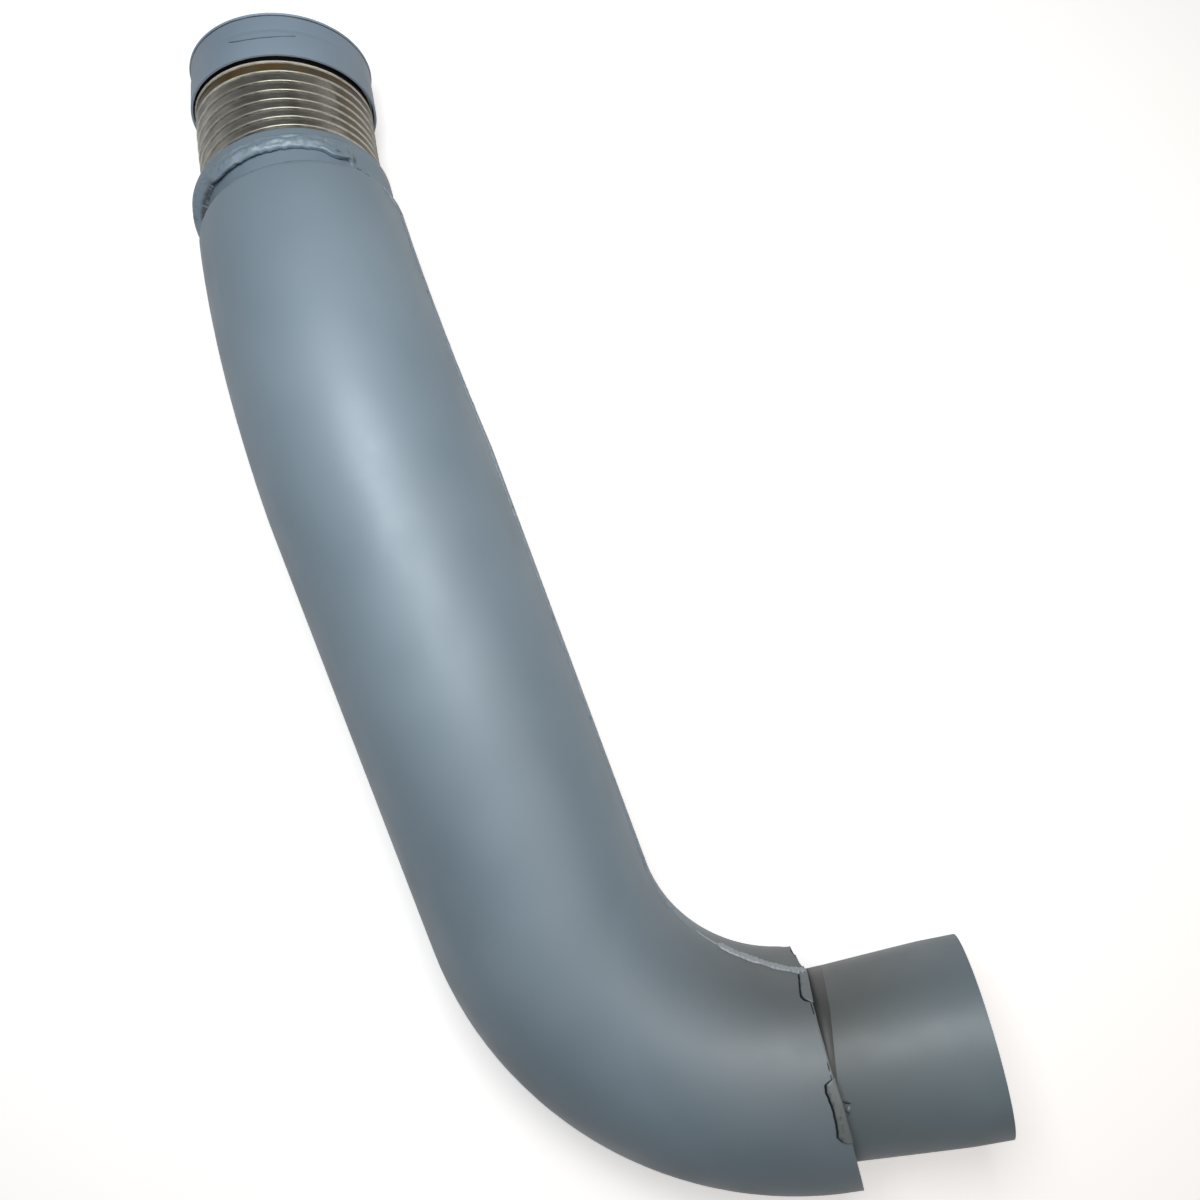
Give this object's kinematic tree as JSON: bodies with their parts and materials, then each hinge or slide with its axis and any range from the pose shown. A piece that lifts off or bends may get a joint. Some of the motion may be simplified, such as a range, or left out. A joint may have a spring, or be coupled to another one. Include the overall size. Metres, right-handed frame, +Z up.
{
  "type": "exhaust pipe",
  "caption": "Heat-shielded exhaust pipe: a welded clamshell jacket over an insulated bent gas pipe, with a strip-wound flexible hose and collar at the inlet and a widened plain outlet.",
  "frame": {"origin": "the middle of the lying part's bounds, on the surface that it lies on", "axes": "+Z up; +Y along the long straight towards the inlet collar, seen from above; +X to the side that the outlet points to"},
  "size_m": [0.3321, 0.8788, 0.1958],
  "materials": {
    "pipe_paint": "satin heat-resistant blue-grey paint",
    "jacket_paint": "satin heat-resistant blue-grey paint",
    "collar_paint": "satin heat-resistant blue-grey paint",
    "ring_paint": "satin heat-resistant blue-grey paint",
    "weld_metal": "painted weld bead",
    "hose_steel": "heat-darkened stainless strip",
    "sleeve_steel": "plain steel",
    "fibre_mat": "needled glass fibre mat"
  },
  "bodies": {
    "pipe": {"inner_pipe": "pipe_paint", "near_insulation": "fibre_mat", "far_insulation": "fibre_mat", "jacket_near_shell": "jacket_paint", "jacket_far_shell": "jacket_paint", "inner_seam_weld": "weld_metal", "outer_seam_weld": "weld_metal", "outlet_end_ring": "pipe_paint", "outlet_stitch_welds": "weld_metal", "neck_weld": "weld_metal", "neck_ring": "ring_paint", "neck_sleeve": "sleeve_steel", "flex_hose": "hose_steel"},
    "collar": {"inlet_collar": "collar_paint", "collar_sleeve": "sleeve_steel"}
  },
  "joints": [
    {"name": "hose_flex", "type": "hinge", "parent": "pipe", "child": "collar", "pos_m": [-0.07417, 0.35182, 0.0757], "axis": [0, 0, 1], "range_deg": [-4, 4], "deforming": ["flex_hose"]}
  ]
}
